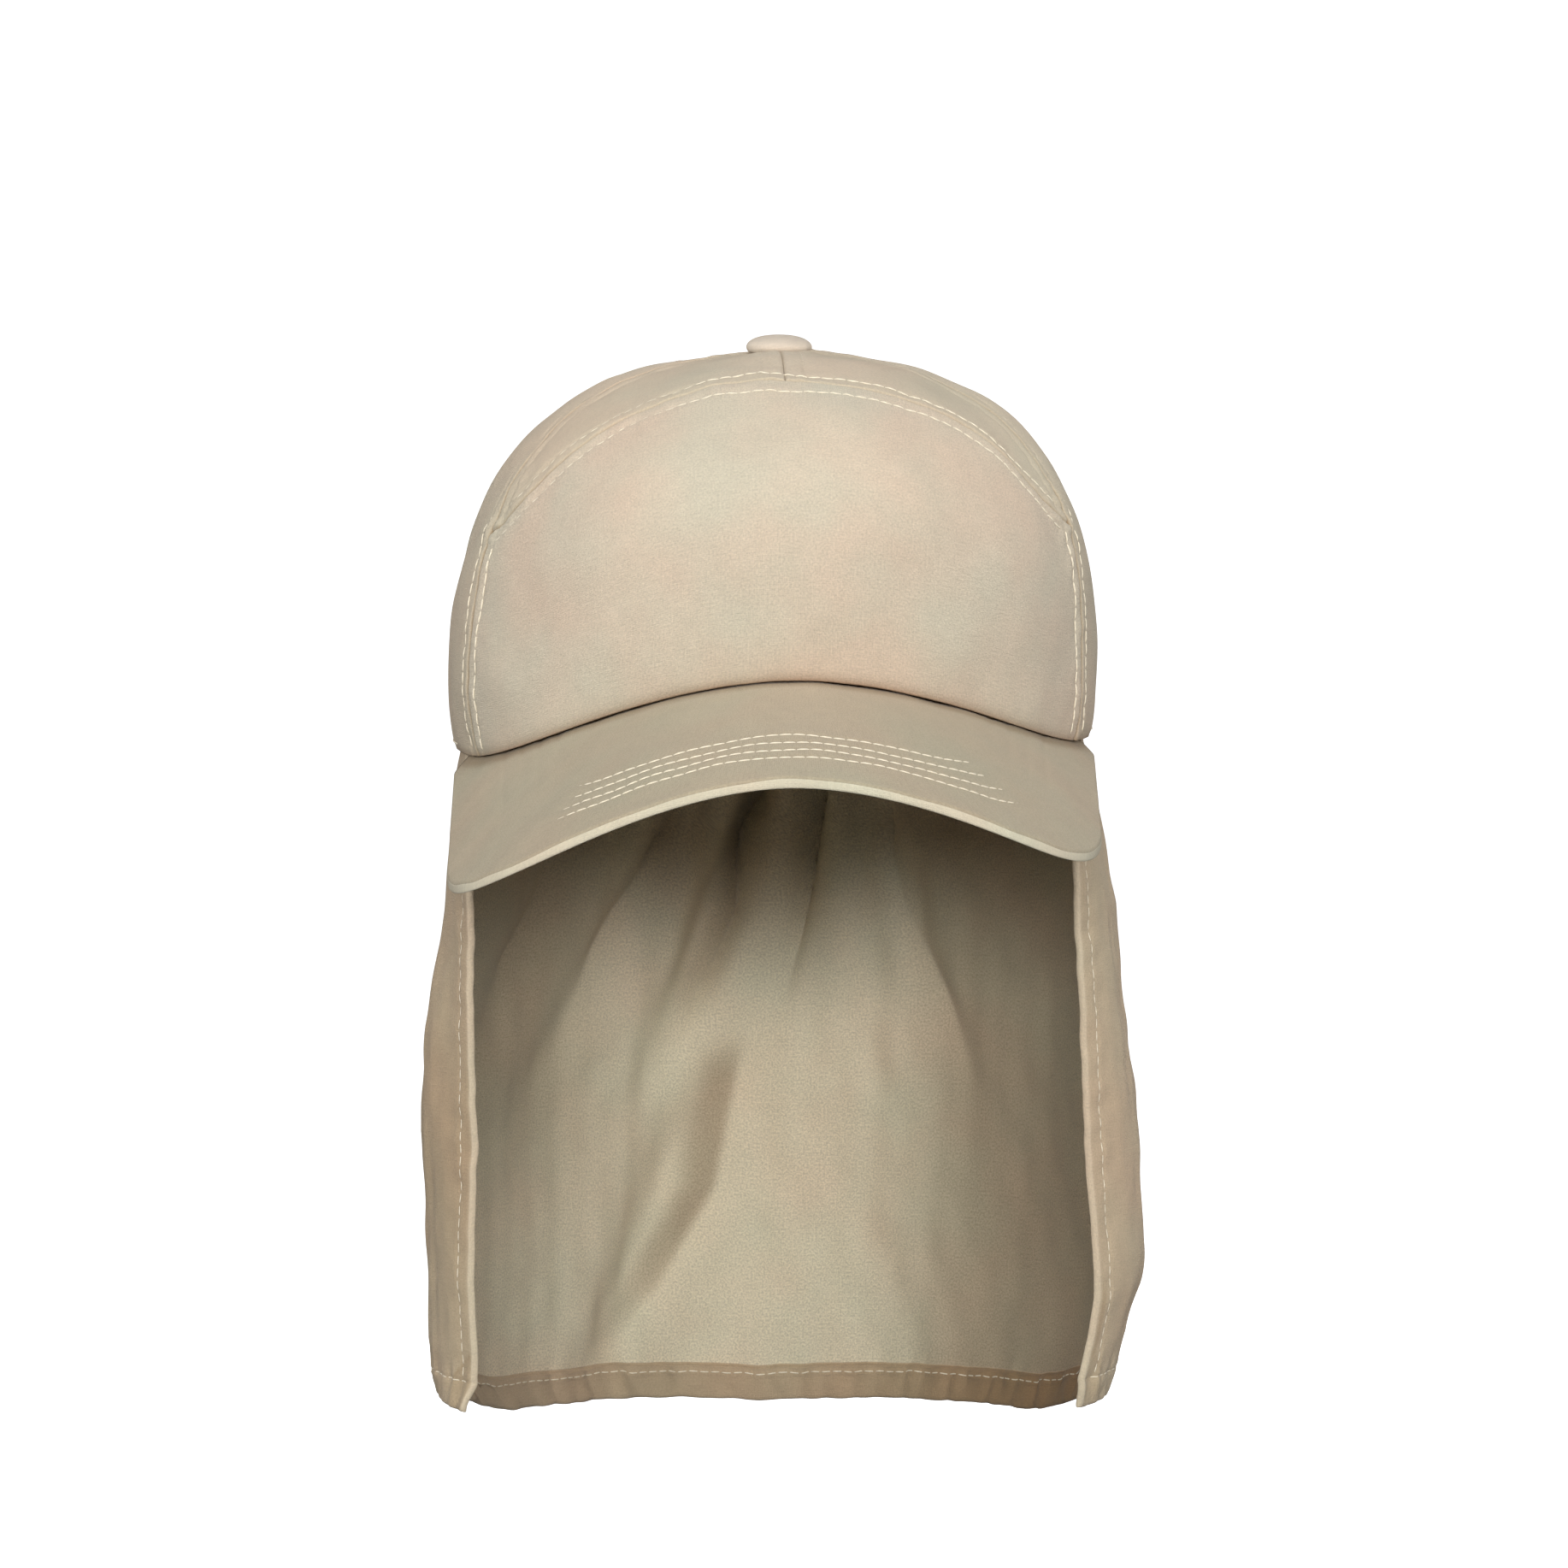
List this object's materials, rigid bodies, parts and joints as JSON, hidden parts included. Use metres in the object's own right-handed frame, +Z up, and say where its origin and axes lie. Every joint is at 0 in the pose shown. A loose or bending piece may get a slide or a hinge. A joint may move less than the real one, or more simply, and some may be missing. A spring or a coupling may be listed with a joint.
{
  "type": "sun cap with neck flap",
  "caption": "Soft cotton sun cap with a rounded sewn crown, a covered button, a curved peak and a long cloth flap that hangs round the sides and back of the neck.",
  "frame": {"origin": "centre of the head opening, level with the crown's rim at the sides", "axes": "+Z up, -Y towards the peak, +X towards the wearer's left"},
  "size_m": [0.2048, 0.2929, 0.3189],
  "materials": {
    "front_cloth": "matt brushed cotton, plain weave",
    "crown_cloth": "matt brushed cotton, plain weave",
    "button_cloth": "matt brushed cotton, plain weave",
    "peak_cloth": "matt brushed cotton, plain weave, over a stiff core",
    "flap_cloth": "matt cotton, plain weave"
  },
  "bodies": {
    "root": {"front_panel": "front_cloth", "upper_front_panel_left": "crown_cloth", "upper_front_panel_right": "crown_cloth", "side_panel_left": "crown_cloth", "side_panel_right": "crown_cloth", "back_panel_left": "crown_cloth", "back_panel_right": "crown_cloth", "button": "button_cloth", "peak": "peak_cloth", "neck_flap": "flap_cloth"}
  },
  "joints": []
}
